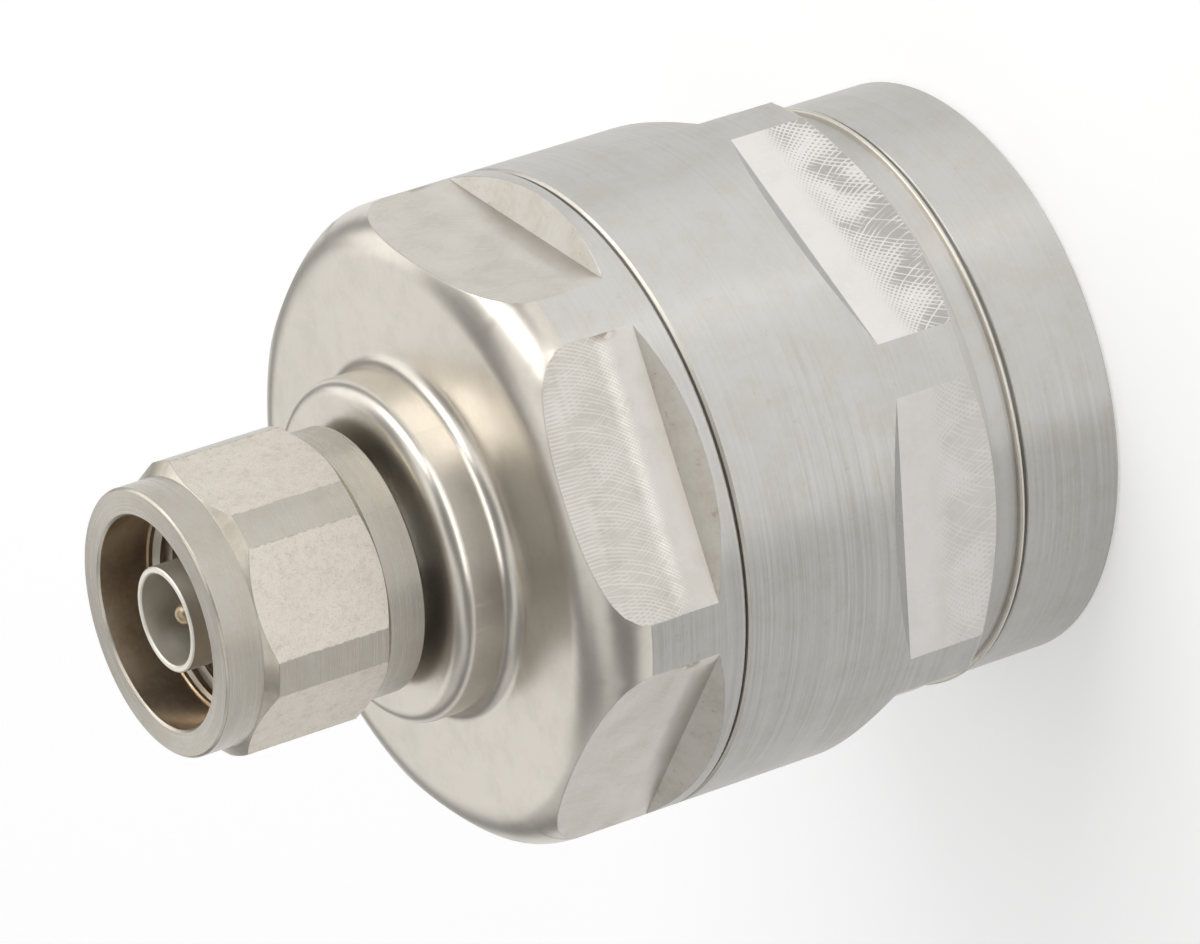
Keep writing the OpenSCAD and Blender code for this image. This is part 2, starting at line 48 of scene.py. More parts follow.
# Sizes shared with part.scad, in millimetres and degrees
BODY_R = 24.75            # round body of both large nuts
FLAT_R = 22.4             # half their width across flats
NECK_R = 22.3             # rear nut, between bead and land
LAND_FOOT_Z = 11.186      # where the lands between the rear flats rise from the neck
LAND_TAPER = 38           # slope of that rise, from the cross plane
REAR_FOOT_Z = 19.6        # foot of the rear flats
FRONT_FOOT_Z = 37.5       # foot of the front flats
FRONT_WALL_LEAN = 30      # lean of the wall at that foot
ROUND_R = 4.25            # front rounding of the barrel
FACE_Z = 47.55            # barrel's front face
NUT_FLAT_R = 10.32        # half the coupling nut's width across flats
NUT_CORNER_R = 11.18      # its corners
NUT_ROUND_R = 10.23       # its round ends
NUT_CHAMFER = 38          # slope of its corner chamfers, from the cross plane
BODY_PITCH = 1.5          # thread that joins the two bodies
# Azimuth of the middle of each nut's first flat
FLAT_PHASE = {"rear_nut": 0.0, "front_body": 26.2, "coupling_nut": 20.7}

# The rear flats' walls lean 44 degrees, as photographed, and 30 in part.scad
REAR_WALL_LEAN = 44

# Sizes of what part.scad lacks
COUPLING_PITCH = 1.0583   # 24 turns to the inch
RIDGE_END = 3.7           # shallow ridge on each body flat, measured from the flat's foot
RIDGE_TOP = 2.1           # where it is highest, measured the same way
RIDGE_H = 0.15
RIDGE_FOOT_H = 0.04       # its height at the foot
REAR_CUTTER_R = 12.0      # cutter that left the arcs on the rear flats
FRONT_CUTTER_R = 9.0

# Worked out from those sizes
BODY_HALF = math.degrees(math.acos(FLAT_R / BODY_R))       # half the angle that a flat takes up
NUT_HALF = math.degrees(math.acos(NUT_FLAT_R / NUT_CORNER_R))
FLAT_HALF_W = BODY_R * math.sin(math.radians(BODY_HALF))
NUT_FLAT_HALF_W = NUT_FLAT_R * math.tan(math.radians(NUT_HALF))
REAR_RISE = math.tan(math.radians(REAR_WALL_LEAN))         # how far the wall rises for each millimetre out
FRONT_RISE = math.tan(math.radians(FRONT_WALL_LEAN))

# Mesh detail
EDGE_STEPS = 3            # segments in each small edge rounding
LEG_SHARE = 0.48          # the most of a leg that one rounding may take
RIDGE_STEPS = 14
FLAT_STEPS = 22           # columns across a flat
LAND_STEPS = 6            # columns across the land between two flats
SIDE_EDGE = 0.35          # degrees from a flat's side edge to the columns on either side of it
SHARP = math.radians(40)
THREAD_STEPS = 72         # segments in each turn of a thread
THREAD_FADE = 0.6         # turns over which a thread grows and dies away
THREAD_LEAST = 0.04       # share of its section that a thread has at its ends
THREAD_SINK = 0.06        # how far a ridge's foot lies inside the metal
THREAD_FOOT = 0.47        # half-widths of the ridge's foot and top, as shares of the pitch
THREAD_TOP = 0.10
THREAD_SHARP = math.radians(35)


# ---------------------------------------------------------------- mesh helpers

def corner(before, at, after, radius):
    """Points that round the corner `at` of a polyline, over less than half of each leg.

    A radius of 0 gives one point, and any other EDGE_STEPS + 1, so that all columns of a piece match."""
    at = Vector(at)
    if radius <= 0:
        return [at]
    a = Vector(before) - at
    b = Vector(after) - at
    if a.length < 1e-6 or b.length < 1e-6:
        return [at] * (EDGE_STEPS + 1)
    half = a.angle(b) / 2
    reach = min(radius / max(math.tan(half), 1e-6), LEG_SHARE * a.length, LEG_SHARE * b.length)
    start, end = at + a.normalized() * reach, at + b.normalized() * reach
    points = []
    for k in range(EDGE_STEPS + 1):
        t = k / EDGE_STEPS
        # Quadratic blend: close to an arc for the small roundings used here
        points.append(start * (1 - t) ** 2 + at * 2 * t * (1 - t) + end * t ** 2)
    return points


def soften(loop):
    """A closed loop of (r, z, radius, tag) as [(point, tag)], every corner rounded by its radius."""
    out = []
    for i, (r, z, radius, tag) in enumerate(loop):
        before, after = loop[i - 1], loop[(i + 1) % len(loop)]
        points = corner(before[:2], (r, z), after[:2], radius)
        out += [(p, tag if k == len(points) - 1 else "") for k, p in enumerate(points)]
    return out


def plain(*points):
    """Loop points with square corners and no tag."""
    return [(r, z, 0, "") for r, z in points]


def arc(centre_r, centre_z, radius, first, last, steps, tag):
    """Loop points on an arc in the (r, z) half-plane, angles in degrees from +r."""
    angles = [math.radians(first + (last - first) * k / steps) for k in range(steps + 1)]
    return [(centre_r + radius * math.cos(a), centre_z + radius * math.sin(a), 0, tag) for a in angles]


def angles_for_flats(half_angle):
    """Angles from a flat's middle, dense at its two side edges, for all six flats."""
    one = [-half_angle + 2 * half_angle * k / FLAT_STEPS for k in range(FLAT_STEPS + 1)]
    one += [-half_angle + SIDE_EDGE, half_angle - SIDE_EDGE]
    land = 60 - 2 * half_angle
    one += [half_angle + land * k / LAND_STEPS for k in range(1, LAND_STEPS)]
    one += [half_angle + SIDE_EDGE, half_angle + land - SIDE_EDGE]
    one = sorted(set(round(a, 5) for a in one))
    return [a + 60 * k for k in range(6) for a in one]


def made_from(bm, name, sharp):
    """The object that bm becomes, with sharp edges where faces meet at more than that angle."""
    bmesh.ops.recalc_face_normals(bm, faces=bm.faces)
    mesh = bpy.data.meshes.new(name)
    bm.to_mesh(mesh)
    bm.free()
    mesh.set_sharp_from_angle(angle=sharp)
    obj = bpy.data.objects.new(name, mesh)
    bpy.context.scene.collection.objects.link(obj)
    return obj


def turned(name, loop_at, angles, phase, tags):
    """A closed piece turned about Z. Each face takes the material slot that its tag has in tags.

    loop_at(angle) gives the half-section at each angle from a flat's middle."""
    rings = []
    for a in angles:
        from_middle = (a + 30) % 60 - 30
        rings.append((math.radians(a + phase), soften(loop_at(from_middle))))
    bm = bmesh.new()
    grid = []
    for theta, ring in rings:
        c, s = math.cos(theta), math.sin(theta)
        grid.append([bm.verts.new((p[0] * c * MM, p[0] * s * MM, p[1] * MM)) for p, _ in ring])
    slots = {tag: k for k, tag in enumerate(tags)}
    count = len(grid[0])
    for i in range(len(rings)):
        j = (i + 1) % len(rings)
        for k in range(count):
            m = (k + 1) % count
            face = bm.faces.new((grid[i][k], grid[j][k], grid[j][m], grid[i][m]))
            tag, next_tag = rings[i][1][k][1], rings[j][1][k][1]
            face.material_index = slots[tag] if tag == next_tag else 0
            face.smooth = True
    bmesh.ops.remove_doubles(bm, verts=bm.verts, dist=1e-7)
    bmesh.ops.dissolve_degenerate(bm, edges=bm.edges, dist=1e-8)
    obj = made_from(bm, name, SHARP)
    weigh = obj.modifiers.new("weigh", "WEIGHTED_NORMAL")
    weigh.keep_sharp = True
    return obj


def thread(name, root_r, crest_r, z0, z1, pitch):
    """A right-hand thread ridge from root_r to crest_r that fades in and out at its ends."""
    foot_r = root_r + (THREAD_SINK if crest_r < root_r else -THREAD_SINK)
    turns = (z1 - z0) / pitch
    bm = bmesh.new()
    rows = []
    for i in range(int(turns * THREAD_STEPS) + 1):
        turn = i / THREAD_STEPS
        grown = max(min(1, turn / THREAD_FADE, (turns - turn) / THREAD_FADE), THREAD_LEAST)
        top_r = root_r + (crest_r - root_r) * grown
        z = z0 + pitch * turn
        half_foot = pitch * THREAD_FOOT * grown
        half_top = pitch * THREAD_TOP * grown
        section = [(foot_r, z - half_foot), (top_r, z - half_top),
                   (top_r, z + half_top), (foot_r, z + half_foot)]
        c, s = math.cos(TAU * turn), math.sin(TAU * turn)
        rows.append([bm.verts.new((r * c * MM, r * s * MM, h * MM)) for r, h in section])
    for a, b in zip(rows, rows[1:]):
        for k in range(4):
            m = (k + 1) % 4
            bm.faces.new((a[k], b[k], b[m], a[m])).smooth = True
    bm.faces.new(rows[0])
    bm.faces.new(rows[-1])
    return made_from(bm, name, THREAD_SHARP)


# ---------------------------------------------------------------- node helpers

def rgba(colour):
    return (*colour, 1.0)


class Nodes:
    """Short names for building a node tree."""

    def __init__(self, name):
        self.material = bpy.data.materials.new(name)
        self.material.use_nodes = True
        self.tree = self.material.node_tree
        self.tree.nodes.clear()
        self.out = self.tree.nodes.new("ShaderNodeOutputMaterial")

    def new(self, kind, inputs=None, **settings):
        node = self.tree.nodes.new("ShaderNode" + kind)
        for key, value in settings.items():
            setattr(node, key, value)
        for key, value in (inputs or {}).items():
            self.put(node.inputs[key], value)
        return node

    def put(self, socket, value):
        if isinstance(value, bpy.types.NodeSocket):
            self.tree.links.new(value, socket)
        elif hasattr(value, "outputs"):
            self.tree.links.new(value.outputs[0], socket)
        else:
            socket.default_value = value

    def math(self, operation, a, b=None, clamp=False):
        node = self.new("Math", {0: a}, operation=operation, use_clamp=clamp)
        if b is not None:
            self.put(node.inputs[1], b)
        return node.outputs[0]

    def total(self, *values):
        result = values[0]
        for value in values[1:]:
            result = self.math("ADD", result, value)
        return result

    def product(self, *values):
        result = values[0]
        for value in values[1:]:
            result = self.math("MULTIPLY", result, value)
        return result

    def ramp(self, value, low, high, to_low=0.0, to_high=1.0):
        """to_low where value is low, to_high where it is high, and a smooth step between."""
        return self.new("MapRange", {"Value": value, "From Min": low, "From Max": high, "To Min": to_low,
                                     "To Max": to_high}, interpolation_type="SMOOTHSTEP").outputs[0]

    def near(self, value, middle, reach):
        """1 where value is at middle, falling to 0 at reach either side."""
        return self.ramp(self.math("ABSOLUTE", self.math("SUBTRACT", value, middle)), 0.0, reach, 1.0, 0.0)

    def mix(self, factor, a, b):
        node = self.new("Mix", data_type="RGBA")
        self.put(node.inputs[0], factor)
        self.put(node.inputs[6], a)
        self.put(node.inputs[7], b)
        return node.outputs[2]

    def vector(self, x, y, z=0.0):
        return self.new("CombineXYZ", {0: x, 1: y, 2: z})

    def noise(self, vector, scale, detail=2.0, roughness=0.5, w=None):
        inputs = {"Vector": vector, "Scale": scale, "Detail": detail, "Roughness": roughness}
        node = self.new("TexNoise", inputs)
        if w is not None:
            node.noise_dimensions = "4D"
            self.put(node.inputs["W"], w)
        return node.outputs[0]

    def bump(self, height):
        """A bump of that height in millimetres."""
        return self.new("Bump", {"Height": self.product(height, MM), "Strength": 1.0, "Distance": 1.0})

    def position(self):
        """Position in millimetres, as a vector."""
        metres = self.new("TexCoord").outputs["Object"]
        return self.new("VectorMath", {0: metres, 1: (1 / MM,) * 3}, operation="MULTIPLY").outputs[0]

    def place(self):
        """Position in millimetres as x, y and z, and its distance from the Z axis."""
        x, y, z = self.new("SeparateXYZ", {0: self.position()}).outputs
        r = self.new("VectorMath", {0: self.vector(x, y)}, operation="LENGTH").outputs["Value"]
        return x, y, z, r

    def turning_vector(self, fine, around):
        """A texture vector that changes quickly across the tool's path and slowly along it."""
        x, y, z, r = self.place()
        unit = self.new("VectorMath", {0: self.vector(x, y)}, operation="NORMALIZE")
        cosine, sine, _ = self.new("SeparateXYZ", {0: unit}).outputs
        across = self.product(self.math("ADD", z, r), fine)
        return self.vector(self.product(cosine, around), self.product(sine, around), across)

    def on_flats(self, phase):
        """On six flats: distance along the flat from its middle, height, and the flat's number."""
        x, y, z, r = self.place()
        sixth = TAU / 6
        angle = self.math("SUBTRACT", self.math("ARCTAN2", y, x), math.radians(phase))
        local = self.new("Math", {0: angle, 1: sixth / 2, 2: -sixth / 2}, operation="WRAP").outputs[0]
        number = self.math("ROUND", self.math("DIVIDE", self.math("SUBTRACT", angle, local), sixth))
        along = self.math("MULTIPLY", r, self.math("SINE", local))
        return along, z, number


# ---------------------------------------------------------------- materials

def metal(name, colour, stain, roughness=0.3, lines=1.0, anisotropy=0.6, marks=None, stain_and_shade_amount=0.35):
    """Plated metal: base colour with faint stains, turning lines in bump and roughness, and a tool's marks.

    lines scales the turning lines. marks(n) returns the marks' height in millimetres, a stain from 0 to 1
    and a change of roughness; on the milled body flats that stain holds painted shade too. A raised stain
    amount, as inside the nut's mouth, makes the stains painted shade."""
    n = Nodes(name)
    shader = n.new("BsdfPrincipled", {"Metallic": 1.0, "Anisotropic": anisotropy,
                                      "Anisotropic Rotation": 0.25})
    n.put(n.out.inputs[0], shader)
    position = n.position()
    # Broad cloudy tarnish and small specks; a raised stain amount makes them painted shade, as inside the
    # nut's mouth
    cloud = n.noise(position, 0.35, 4.0, 0.6)
    speck = n.noise(position, 2.2, 3.0, 0.7)
    mottle = n.total(n.product(cloud, 0.7), n.product(speck, 0.3))
    tarnish_and_shade = n.product(n.ramp(mottle, 0.42, 0.66), stain_and_shade_amount)
    # Turning lines, at two widths
    fine = n.noise(n.turning_vector(fine=9.0, around=1.2), 1.0, 2.0)
    broad = n.noise(n.turning_vector(fine=2.2, around=0.8), 1.0, 1.0)
    height = n.total(n.product(fine, 0.0035 * lines), n.product(broad, 0.006 * lines))
    tarnish_and_shade = n.math("ADD", tarnish_and_shade, n.ramp(fine, 0.42, 0.70, 0.0, 0.13 * lines))
    rough = n.math("ADD", n.ramp(fine, 0.3, 0.7, -0.04 * lines, 0.05 * lines), roughness)
    if marks:
        # The marks' stain holds painted shade on the milled body flats
        mark_height, mark_stain_and_shade, mark_rough = marks(n)
        height = n.math("ADD", height, mark_height)
        tarnish_and_shade = n.math("ADD", tarnish_and_shade, mark_stain_and_shade, clamp=True)
        rough = n.math("ADD", rough, mark_rough)
    n.put(shader.inputs["Base Color"], n.mix(tarnish_and_shade, rgba(colour), rgba(stain)))
    n.put(shader.inputs["Normal"], n.bump(height))
    n.put(shader.inputs["Roughness"], rough)
    if anisotropy:
        n.put(shader.inputs["Tangent"], n.new("Tangent", direction_type="RADIAL", axis="Z"))
    return n.material


def soft(name, colour, dark, roughness, scale):
    """Rubber or plastic: a little mottled, with a fine moulded grain."""
    n = Nodes(name)
    shader = n.new("BsdfPrincipled", {"Roughness": roughness})
    n.put(n.out.inputs[0], shader)
    position = n.position()
    cloud = n.noise(position, scale, 4.0)
    grain = n.noise(position, 12.0)
    n.put(shader.inputs["Base Color"], n.mix(n.ramp(cloud, 0.35, 0.7), rgba(colour), rgba(dark)))
    n.put(shader.inputs["Normal"], n.bump(n.product(grain, 0.008)))
    return n.material


def cutter_arcs(n, along, z, centre_z, radius, pitch, side, wobble):
    """Arcs left by a cutter of that radius, fed along the flat: a wave of uneven lines, from -1 to 1.

    side is 1 for the cutter's leading edge and -1 for its trailing edge."""
    rise = n.math("SUBTRACT", z, centre_z)
    inside = n.math("MAXIMUM", n.math("SUBTRACT", radius ** 2, n.math("MULTIPLY", rise, rise)), 0.01)
    arc_along = n.math("MULTIPLY", n.math("SQRT", inside), side)
    line = n.math("ADD", n.product(n.math("SUBTRACT", along, arc_along), 1 / pitch), wobble)
    # Each line has its own strength, which changes slowly along it
    strength = n.ramp(n.noise(n.vector(line, n.product(z, 0.3), side), 0.8, 2.0), 0.34, 0.60, 0.15)
    return n.product(n.math("SINE", n.product(line, TAU)), strength)


def face_milled(node, centre_z, radius, pitch, depth, second, clear_z, full_z, contrast, lit_chattered_flat, patchy,
                corner_stain):
    """Marks of a face-milled flat: arcs of the leading edge, and of the trailing edge as strong as second.

    They are whole past full_z and gone at clear_z, which is beside the flat's foot. The cutter chattered
    most on the flat numbered lit_chattered_flat, or on two flats where it is halfway between them, and
    left grey all over (patchy 0) or in patches (patchy 1). That flat is left lightest, and the others are
    darkened as painted shade, the more the further they turn from it."""
    def marks(n):
        along, z, number = n.on_flats(FLAT_PHASE[node])
        spot = n.vector(along, z)
        wobble = n.product(n.noise(spot, 0.4, 1.0, w=number), 0.9)
        # 1 at the lightest flat and 0 across from it
        turn = n.product(n.math("SUBTRACT", number, lit_chattered_flat), TAU / 6)
        chatter_and_light = n.math("POWER", n.math("ADD", n.product(n.math("COSINE", turn), 0.5), 0.5), 3.0)
        # Painted shade: the flats turned away from the lightest one are darkened towards the stain colour, by
        # up to 0.42
        painted_flat_shade = n.math("SUBTRACT", 0.42, n.product(chatter_and_light, 0.42))
        fade = n.ramp(z, clear_z, full_z)
        # 7.3 keeps the patches apart from the wobble
        patch = n.ramp(n.noise(spot, 0.28, 1.5, w=n.math("ADD", number, 7.3)), 0.30, 0.66)
        one = cutter_arcs(n, along, z, centre_z, radius, pitch, 1.0, wobble)
        two = cutter_arcs(n, along, z, centre_z, radius, pitch, -1.0, wobble)
        weave = n.math("MINIMUM", one, n.product(two, second))
        scored = n.math("ADD", n.product(chatter_and_light, 0.6), 0.4)
        height = n.product(weave, n.math("ADD", n.product(fade, 0.8), 0.2), scored, depth)
        # Grey where the patch is strong, crossed by the lines that the cutter burnished
        cover = n.total(n.product(patch, fade, 0.50 * patchy), n.product(weave, 0.42),
                        0.10 + 0.22 * (1 - patchy))
        worn_grey = n.math("ADD", n.product(chatter_and_light, 0.95), 0.06)
        grey = n.product(n.ramp(cover, 0.14, 0.36), fade, worn_grey, contrast)
        # A brown stain in the corner by the foot, where cutting oil stood
        corner_spot = n.product(n.near(along, FLAT_HALF_W, 0.75), n.near(z, clear_z + 1.6, 1.5),
                                n.ramp(n.noise(spot, 1.6, 3.0, w=number), 0.38, 0.52))
        # The grey patches, the painted shade of the other flats and the oil stain in the corner, together
        stain = n.total(grey, painted_flat_shade, n.product(corner_spot, corner_stain))
        return height, stain, n.product(patch, 0.04)
    return marks


def fine_across(node):
    """Marks of the leaning wall: faint lines across it and a few brown specks."""
    def marks(n):
        along, z, number = n.on_flats(FLAT_PHASE[node])
        lines = n.noise(n.vector(n.product(along, 7.0), n.product(z, 0.8), number), 1.0, 2.0)
        specks = n.ramp(n.noise(n.position(), 1.1, 4.0, 0.7), 0.60, 0.72, 0.0, 0.8)
        return n.product(lines, 0.003), specks, n.ramp(lines, 0.3, 0.7, -0.03, 0.04)
    return marks


def speckled(n):
    """Marks of a dull flat: fine pits, darker specks and a dark burr along its side edges."""
    position = n.position()
    along = n.on_flats(FLAT_PHASE["coupling_nut"])[0]
    side = n.near(n.math("ABSOLUTE", along), NUT_FLAT_HALF_W, 0.13)
    burr = n.product(side, n.ramp(n.noise(position, 2.6, 3.0, 0.7), 0.42, 0.56))
    pits = n.noise(position, 8.0, 3.0, 0.7)
    blotch = n.noise(position, 1.2, 4.0, 0.75)
    height = n.total(n.product(pits, 0.010), n.product(blotch, 0.012))
    stain = n.total(n.ramp(pits, 0.50, 0.70, 0.0, 0.55), n.ramp(blotch, 0.45, 0.72, 0.0, 0.25), burr)
    return height, stain, n.ramp(blotch, 0.3, 0.7, -0.03, 0.05)


def handled(n):
    """Marks of handling on a turned body: a few short scratches and small stains."""
    position = n.position()
    slanted = n.new("Mapping", {"Vector": position, "Rotation": (0.4, 0.7, 0.9), "Scale": (9.0, 0.35, 9.0)})
    scratch = n.ramp(n.noise(slanted, 1.0, 1.0), 0.70, 0.76)
    stain = n.ramp(n.noise(position, 0.8, 4.0, 0.75), 0.63, 0.72, 0.0, 0.5)
    return n.product(scratch, -0.004), stain, n.product(scratch, 0.10)


NICKEL = (0.60, 0.588, 0.564)
NICKEL_STAIN = (0.52, 0.485, 0.42)
WARM_NICKEL = (0.66, 0.62, 0.555)
NUT_NICKEL = (0.47, 0.443, 0.395)
NUT_STAIN = (0.40, 0.35, 0.275)

body_metal = metal("plated_body_finish", NICKEL, NICKEL_STAIN, roughness=0.40, anisotropy=0.95, marks=handled)
edge_metal = metal("plated_edge_finish", (0.70, 0.66, 0.59), NICKEL_STAIN, roughness=0.40, lines=0.3,
                   anisotropy=0.5)
hub_metal = metal("plated_hub_finish", WARM_NICKEL, NICKEL_STAIN, roughness=0.31, lines=0.15, anisotropy=0.2)
# The two milled body finishes below paint shade on the flats turned away from the one left lightest
rear_flat_metal = metal(
    "rear_flat_finish", (0.82, 0.792, 0.765), (0.37, 0.355, 0.335), roughness=0.27, lines=0.0,
    anisotropy=0.0, stain_and_shade_amount=0.08,
    marks=face_milled("rear_nut", centre_z=REAR_FOOT_Z - REAR_CUTTER_R, radius=REAR_CUTTER_R, pitch=0.42,
                      depth=0.010, second=1.0, clear_z=REAR_FOOT_Z - 2.0, full_z=15.5, contrast=0.85,
                      lit_chattered_flat=-0.5, patchy=1.0, corner_stain=0.0))
front_flat_metal = metal(
    "front_flat_finish", (0.68, 0.65, 0.605), (0.35, 0.31, 0.25), roughness=0.30, lines=0.0,
    anisotropy=0.0, stain_and_shade_amount=0.15,
    marks=face_milled("front_body", centre_z=FRONT_FOOT_Z + FRONT_CUTTER_R, radius=FRONT_CUTTER_R, pitch=0.30,
                      depth=0.006, second=0.5, clear_z=FRONT_FOOT_Z + 1.0, full_z=41.0, contrast=0.30,
                      lit_chattered_flat=-2, patchy=0.35, corner_stain=1.0))
# Painted shade: the rear walls are a darker, bluer grey than the plating, for the shade they lie in
rear_wall_shaded_metal = metal("rear_wall_shade_finish", (0.40, 0.41, 0.415), (0.34, 0.34, 0.33), roughness=0.30,
                        lines=0.0, anisotropy=0.0, marks=fine_across("rear_nut"))
front_wall_metal = metal("front_wall_finish", (0.58, 0.55, 0.495), (0.40, 0.345, 0.26), roughness=0.36,
                         lines=0.0, anisotropy=0.0, marks=fine_across("front_body"))
nut_metal = metal("plated_nut_finish", NUT_NICKEL, NUT_STAIN, roughness=0.30, anisotropy=0.75)
nut_flat_metal = metal("nut_flat_finish", (0.68, 0.628, 0.562), (0.42, 0.375, 0.30), roughness=0.45,
                       lines=0.0, anisotropy=0.0, stain_and_shade_amount=0.12, marks=speckled)
nut_cone_metal = metal("nut_cone_finish", (0.66, 0.61, 0.52), NUT_STAIN, roughness=0.32, lines=0.6,
                       anisotropy=0.4)
# Painted shade: inside the mouth the stain is heavier and browner than on the nut's cone, for the shade in
# there
nut_mouth_shaded_metal = metal("nut_mouth_shade_finish", (0.70, 0.61, 0.49), (0.46, 0.32, 0.22), roughness=0.30,
                        lines=0.3, anisotropy=0.3, stain_and_shade_amount=0.5)
contact_metal = metal("plated_contact_finish", (0.88, 0.845, 0.77), (0.70, 0.63, 0.52), roughness=0.44,
                      lines=0.4, anisotropy=0.4)
# Painted shade: the gold is darkened well below plated gold, for the pin that stands deep in the sleeve
shaded_gold = metal("gold_shaded_finish", (0.50, 0.41, 0.27), (0.42, 0.32, 0.19), roughness=0.36, lines=0.4)
bronze = metal("bronze_finish", (0.66, 0.48, 0.25), (0.5, 0.33, 0.15))
wire = metal("wire_finish", (0.55, 0.55, 0.56), (0.4, 0.38, 0.35))
black_rubber = soft("black_rubber_finish", (0.014, 0.014, 0.014), (0.03, 0.029, 0.027), 0.55, 0.8)
red_rubber = soft("red_rubber_finish", (0.20, 0.055, 0.025), (0.12, 0.035, 0.018), 0.5, 1.0)
white_plastic = soft("white_plastic_finish", (0.80, 0.80, 0.76), (0.72, 0.72, 0.67), 0.35, 0.6)


# ---------------------------------------------------------------- half-sections of the nuts

def flat_radius(angle, flat_r, round_r):
    return min(round_r, flat_r / math.cos(math.radians(angle)))


def on_flat(angle, half):
    return abs(angle) < half + 1e-3


def ridge(u):
    """Height of the shallow ridge that the cutter's last pass left on a body flat, u from the flat's foot."""
    if u >= RIDGE_END:
        return 0.0
    if u >= RIDGE_TOP:
        t = (RIDGE_END - u) / (RIDGE_END - RIDGE_TOP)
        return RIDGE_H * t * t * (3 - 2 * t)
    return RIDGE_H - (RIDGE_H - RIDGE_FOOT_H) * (RIDGE_TOP - u) / RIDGE_TOP


def ridge_points(angle, foot_z, rise, toward):
    """(r, z) points of a body flat's last stretch, from the ridge's start to the flat's foot.

    toward is 1 where the foot is the flat's high end and -1 where it is the low end."""
    c = math.cos(math.radians(angle))
    last_u = -RIDGE_FOOT_H * rise
    points = []
    for k in range(RIDGE_STEPS + 1):
        u = RIDGE_END + (last_u - RIDGE_END) * k / RIDGE_STEPS
        points.append((min(BODY_R, (FLAT_R + ridge(max(u, 0))) / c), foot_z - toward * u))
    return points


def wall_end(angle, foot_z, rise, toward):
    """Height at which the leaning wall runs out on the round body."""
    reach = max(RIDGE_FOOT_H, BODY_R * math.cos(math.radians(angle)) - FLAT_R)
    return foot_z + toward * reach * rise


# Each loop below goes once round a half-section, as (r, z, rounding, tag of what follows). The points repeat
# part.scad's. The small roundings, the bead's slimmer section (0.2 for 0.3), the ridge and the rear walls'
# lean are this script's own.

def rear_nut_loop(angle):
    tag, wall = ("flat", "wall") if on_flat(angle, BODY_HALF) else ("", "")
    r_flat = flat_radius(angle, FLAT_R, BODY_R)
    land_z = LAND_FOOT_Z + (r_flat - NECK_R) * math.tan(math.radians(LAND_TAPER))
    *slope, foot = ridge_points(angle, REAR_FOOT_Z, REAR_RISE, 1)
    return [
        # Cable end and collar
        (20.6, 0, 0.05, ""), (22.1, 0, 0.08, ""), (22.5, 0.4, 0.08, ""), (22.5, 8.42, 0.05, ""),
        *plain((22.42, 8.5), (22.0, 8.5), (22.0, 8.9)),
        # Bead and neck
        *arc(22.55, 9.1, 0.2, -90, 90, 8, "edge"), (NECK_R, 9.3, 0, ""), (NECK_R, LAND_FOOT_Z, 0.3, ""),
        # Flat or land, with the ridge and the wall
        (r_flat, land_z, 0.12 if tag else 0.5, tag), *[(r, z, 0, tag) for r, z in slope], (*foot, 0, wall),
        # Round body and front edge
        (BODY_R, wall_end(angle, REAR_FOOT_Z, REAR_RISE, 1), 0.10, ""),
        (BODY_R, 34.65, 0.05, "edge"), (BODY_R - 0.2, 34.85, 0.05, ""),
        # Pilot bore and thread
        *plain((22.92, 34.85), (22.62, 34.55), (22.62, 31.0), (21.92, 31.0), (21.92, 22.2)),
        # Clamp chamber, with its ring groove
        *plain((20.65, 22.2), (20.65, 21.75), (21.3, 21.75), (21.3, 20.75), (20.65, 20.75), (20.65, 12.0)),
        # Web, seal groove and cable entry
        (18.4, 12.0, 0.05, ""), (18.4, 10.0, 0.05, ""), *plain((21.4, 10.0), (21.4, 4.6)),
        (20.1, 4.6, 0.05, ""), (20.1, 0.5, 0.05, ""),
    ]


def front_body_loop(angle):
    tag, wall = ("flat", "wall") if on_flat(angle, BODY_HALF) else ("", "")
    r_flat = flat_radius(angle, FLAT_R, BODY_R)
    curve = ridge_points(angle, FRONT_FOOT_Z, FRONT_RISE, -1)
    round_r, round_z = BODY_R - ROUND_R, FACE_Z - ROUND_R
    round_start = math.degrees(math.acos(min(1, (r_flat - round_r) / ROUND_R)))
    (first_r, first_z, _, _), *rounding = arc(round_r, round_z, ROUND_R, round_start, 90, 16, "hub")
    return [
        # Threaded tail
        *plain((19.02, 22.4), (20.57, 22.4), (20.97, 22.8), (20.97, 31.3), (22.37, 31.3), (22.57, 31.5)),
        # Pilot, with its O-ring's groove
        (22.57, 32.355, 0.05, ""), *plain((21.33, 32.355), (21.33, 34.095)), (22.57, 34.095, 0.05, ""),
        *plain((22.57, 35.05)),
        # Barrel: rear edge, wall, ridge, flat or land, and rounded front edge
        (24.5, 35.05, 0.04, "edge"), (BODY_R, 35.3, 0.08, ""),
        (BODY_R, wall_end(angle, FRONT_FOOT_Z, FRONT_RISE, -1), 0.08, wall),
        *[(r, z, 0, tag) for r, z in reversed(curve)], (first_r, first_z, 0.10, "hub"), *rounding,
        # Hub
        *arc(14.4, FACE_Z + 1.2, 1.2, -90, -180, 8, "hub"), *arc(11.9, 50.95, 1.3, 0, 90, 8, "hub"),
        # Neck, with the snap ring's groove
        *plain((6.95, 52.25), (6.95, 55.85), (6.2, 55.85), (6.2, 56.95), (6.95, 56.95), (6.95, 59.05),
               (6.75, 59.25)),
        # Bore of the line, from the front to the tail
        *plain((5.27, 59.25), (5.27, 54.0), (4.67, 54.0), (4.67, 50.0), (3.5, 50.0), (3.5, 44.5),
               (8.06, 44.5), (8.06, 37.5), (15.08, 37.5), (15.08, 34.0), (16.5, 34.0), (16.5, 27.5),
               (19.02, 27.5)),
    ]


